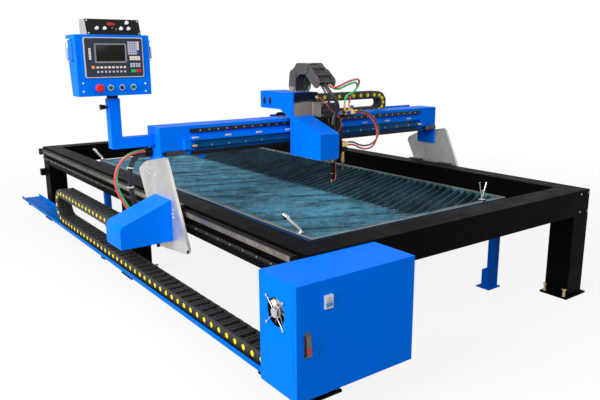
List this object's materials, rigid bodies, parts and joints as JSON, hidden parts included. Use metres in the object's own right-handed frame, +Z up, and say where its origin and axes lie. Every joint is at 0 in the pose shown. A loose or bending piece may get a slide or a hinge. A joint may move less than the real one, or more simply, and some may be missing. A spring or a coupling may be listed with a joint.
{
  "type": "plasma cutting machine",
  "caption": "Gantry cutting table: a torch lift on a carriage crosses a beam that runs on side rails over a slatted bed, with drag chains, control cabinet and swivelling pendant.",
  "frame": {"origin": "on the floor, at the centre of the rectangle of the four corner feet's anchor holes", "axes": "+Z up, +Y along the guide rails towards the back, +X along the gantry to the right as seen from the cabinet's end"},
  "size_m": [2.976, 4.4773, 1.648],
  "materials": {
    "black_frame": "satin black paint",
    "blue_paint": "smooth bright blue paint",
    "bed_paint": "worn dark blue paint",
    "rail_steel": "ground steel, oiled",
    "bearing_steel": "dark plated steel",
    "bare_aluminium": "milled aluminium",
    "chain_plastic": "moulded dark plastic",
    "grey_plastic": "moulded grey plastic",
    "black_plastic": "matt black plastic",
    "white_plastic": "white plastic",
    "red_plastic": "red plastic",
    "green_plastic": "green plastic",
    "blue_plastic": "blue plastic",
    "turned_brass": "turned brass",
    "motor_metal": "painted motor body",
    "hose_rubber": "rubber hose",
    "chrome": "chrome plate"
  },
  "bodies": {
    "table": {"table_beams": "black_frame", "legs": "black_frame", "guide_rails": "rail_steel", "drive_racks": "rail_steel", "bed_frame": "blue_paint", "slats": "bed_paint", "chain_tray": "blue_paint", "travel_chain_lower": "chain_plastic", "cabinet_shell": "blue_paint", "control_electronics": "grey_plastic", "work_clamps": "chrome"},
    "door": {"cabinet_door": "blue_paint"},
    "latch": {"door_latch": "chrome"},
    "breaker": {"breaker_toggle": "blue_plastic"},
    "fan": {"fan_rotor": "black_plastic"},
    "travel_bend_low": {"travel_bend_lower": "chain_plastic"},
    "travel_bend_high": {"travel_bend_upper": "chain_plastic"},
    "gantry": {"gantry_beam": "blue_paint", "side_plates": "bare_aluminium", "bearing_blocks": "bearing_steel", "motor_covers": "blue_paint", "drive_motors": "motor_metal", "cross_rails": "rail_steel", "cross_chain_lower": "chain_plastic", "travel_chain_upper": "chain_plastic", "pendant_post": "blue_paint", "end_stops": "bearing_steel", "side_hoses": "hose_rubber"},
    "pinions": {"drive_pinions": "rail_steel"},
    "cross_bend_low": {"cross_bend_lower": "chain_plastic"},
    "cross_bend_high": {"cross_bend_upper": "chain_plastic"},
    "carriage": {"lift_frame": "black_plastic", "carriage_covers": "blue_paint", "carriage_blocks": "bearing_steel", "carriage_motors": "motor_metal", "arch_chain": "grey_plastic", "valve_block": "turned_brass", "cross_chain_upper": "chain_plastic", "gas_hoses": "hose_rubber", "torch_lines": "hose_rubber"},
    "cross_gear": {"cross_pinion": "rail_steel"},
    "lifter": {"slide_plate": "bare_aluminium", "plasma_torch": "black_plastic", "cutting_torch": "turned_brass"},
    "screw": {"lead_screw": "rail_steel"},
    "pendant": {"pendant_box": "blue_paint", "controller": "grey_plastic", "height_control": "black_plastic"},
    "lock": {"lock_knob": "black_plastic"},
    "stop_button": {"emergency_stop": "red_plastic"},
    "start": {"start_button": "green_plastic"},
    "mode": {"mode_selector": "black_plastic"},
    "pause": {"pause_button": "green_plastic"},
    "oxygen": {"oxygen_knob": "blue_plastic"},
    "fuel": {"fuel_knob": "blue_plastic"},
    "height_dial_1": {"height_knob_1": "white_plastic"},
    "height_dial_2": {"height_knob_2": "white_plastic"},
    "height_dial_3": {"height_knob_3": "white_plastic"},
    "height_dial_4": {"height_knob_4": "white_plastic"},
    "height_dial_5": {"height_knob_5": "white_plastic"}
  },
  "joints": [
    {"name": "gantry_travel", "type": "slide", "parent": "table", "child": "gantry", "axis": [0, 1, 0], "range_m": [-0.75, 2.25], "deforming": ["travel_chain_lower", "travel_chain_upper"]},
    {"name": "travel_bend_low_slide", "type": "slide", "parent": "table", "child": "travel_bend_low", "axis": [0, 1, 0], "range_m": [-0.376, 1.126]},
    {"name": "travel_bend_high_slide", "type": "slide", "parent": "gantry", "child": "travel_bend_high", "axis": [0, -1, 0], "range_m": [-0.376, 1.126]},
    {"name": "pinion_turn", "type": "hinge", "parent": "gantry", "child": "pinions", "pos_m": [0, -0.767, 0.532], "axis": [1, 0, 0], "range_deg": [-1433.39, 4298.18]},
    {"name": "carriage_travel", "type": "slide", "parent": "gantry", "child": "carriage", "axis": [1, 0, 0], "range_m": [-0.695, 0.805], "deforming": ["cross_chain_lower", "cross_chain_upper"]},
    {"name": "cross_bend_low_slide", "type": "slide", "parent": "gantry", "child": "cross_bend_low", "axis": [1, 0, 0], "range_m": [-0.3485, 0.4035]},
    {"name": "cross_bend_high_slide", "type": "slide", "parent": "carriage", "child": "cross_bend_high", "axis": [-1, 0, 0], "range_m": [-0.3485, 0.4035]},
    {"name": "cross_gear_turn", "type": "hinge", "parent": "carriage", "child": "cross_gear", "pos_m": [-0.18, -0.74, 0.883], "axis": [0, -1, 0], "range_deg": [-1328.35, 1538.44]},
    {"name": "torch_lift", "type": "slide", "parent": "carriage", "child": "lifter", "axis": [0, 0, 1], "range_m": [-0.07, 0.045], "deforming": ["torch_lines"]},
    {"name": "screw_turn", "type": "hinge", "parent": "carriage", "child": "screw", "pos_m": [-0.01, -0.836, 0.95], "axis": [0, 0, 1], "range_deg": [-2521, 1621]},
    {"name": "door_swing", "type": "hinge", "parent": "table", "child": "door", "pos_m": [-0.693, -2.24, 0.427], "axis": [0, 0, 1], "range_deg": [0, 110]},
    {"name": "latch_lift", "type": "hinge", "parent": "door", "child": "latch", "pos_m": [-1.251, -2.2708, 0.384], "axis": [1, 0, 0], "range_deg": [0, 60]},
    {"name": "breaker_throw", "type": "hinge", "parent": "door", "child": "breaker", "pos_m": [-1.153, -2.2655, 0.56], "axis": [1, 0, 0], "range_deg": [-20, 20]},
    {"name": "fan_turn", "type": "hinge", "parent": "table", "child": "fan", "pos_m": [-1.283, -2.128, 0.519], "axis": [1, 0, 0], "continuous": true},
    {"name": "pendant_swivel", "type": "hinge", "parent": "gantry", "child": "pendant", "pos_m": [-1.323, -0.62, 1.24], "axis": [0, 0, 1], "range_deg": [-60, 60]},
    {"name": "lock_turn", "type": "hinge", "parent": "gantry", "child": "lock", "pos_m": [-1.36, -0.62, 1.195], "axis": [1, 0, 0], "range_deg": [-180, 180]},
    {"name": "stop_press", "type": "slide", "parent": "pendant", "child": "stop_button", "axis": [0, 1, 0], "range_m": [0, 0.006], "stiffness_N_per_m": 800},
    {"name": "start_press", "type": "slide", "parent": "pendant", "child": "start", "axis": [0, 1, 0], "range_m": [0, 0.004], "stiffness_N_per_m": 600},
    {"name": "pause_press", "type": "slide", "parent": "pendant", "child": "pause", "axis": [0, 1, 0], "range_m": [0, 0.004], "stiffness_N_per_m": 600},
    {"name": "mode_turn", "type": "hinge", "parent": "pendant", "child": "mode", "pos_m": [-1.292, -0.69, 1.299], "axis": [0, 1, 0], "range_deg": [-45, 45]},
    {"name": "oxygen_turn", "type": "hinge", "parent": "carriage", "child": "oxygen", "pos_m": [0.135, -0.865, 1.097], "axis": [0, -1, 0], "range_deg": [0, 720]},
    {"name": "fuel_turn", "type": "hinge", "parent": "carriage", "child": "fuel", "pos_m": [0.186, -0.835, 1.13], "axis": [0, 0, 1], "range_deg": [0, 720]},
    {"name": "height_dial_1_turn", "type": "hinge", "parent": "pendant", "child": "height_dial_1", "pos_m": [-1.388, -0.64352, 1.598], "axis": [0, -0.9377, 0.3473], "range_deg": [-135, 135]},
    {"name": "height_dial_2_turn", "type": "hinge", "parent": "pendant", "child": "height_dial_2", "pos_m": [-1.347, -0.64352, 1.598], "axis": [0, -0.9377, 0.3473], "range_deg": [-135, 135]},
    {"name": "height_dial_3_turn", "type": "hinge", "parent": "pendant", "child": "height_dial_3", "pos_m": [-1.26, -0.64352, 1.598], "axis": [0, -0.9377, 0.3473], "range_deg": [-135, 135]},
    {"name": "height_dial_4_turn", "type": "hinge", "parent": "pendant", "child": "height_dial_4", "pos_m": [-1.219, -0.64352, 1.598], "axis": [0, -0.9377, 0.3473], "range_deg": [-135, 135]},
    {"name": "height_dial_5_turn", "type": "hinge", "parent": "pendant", "child": "height_dial_5", "pos_m": [-1.223, -0.63204, 1.629], "axis": [0, -0.9377, 0.3473], "range_deg": [-135, 135]}
  ],
  "couplings": [
    {"joint": "travel_bend_low_slide", "follows": "gantry_travel", "ratio": 0.5},
    {"joint": "travel_bend_high_slide", "follows": "gantry_travel", "ratio": 0.5},
    {"joint": "pinion_turn", "follows": "gantry_travel", "rad_per_m": 33.333},
    {"joint": "cross_bend_low_slide", "follows": "carriage_travel", "ratio": 0.5},
    {"joint": "cross_bend_high_slide", "follows": "carriage_travel", "ratio": 0.5},
    {"joint": "cross_gear_turn", "follows": "carriage_travel", "rad_per_m": 33.333},
    {"joint": "screw_turn", "follows": "torch_lift", "rad_per_m": 628.32}
  ]
}
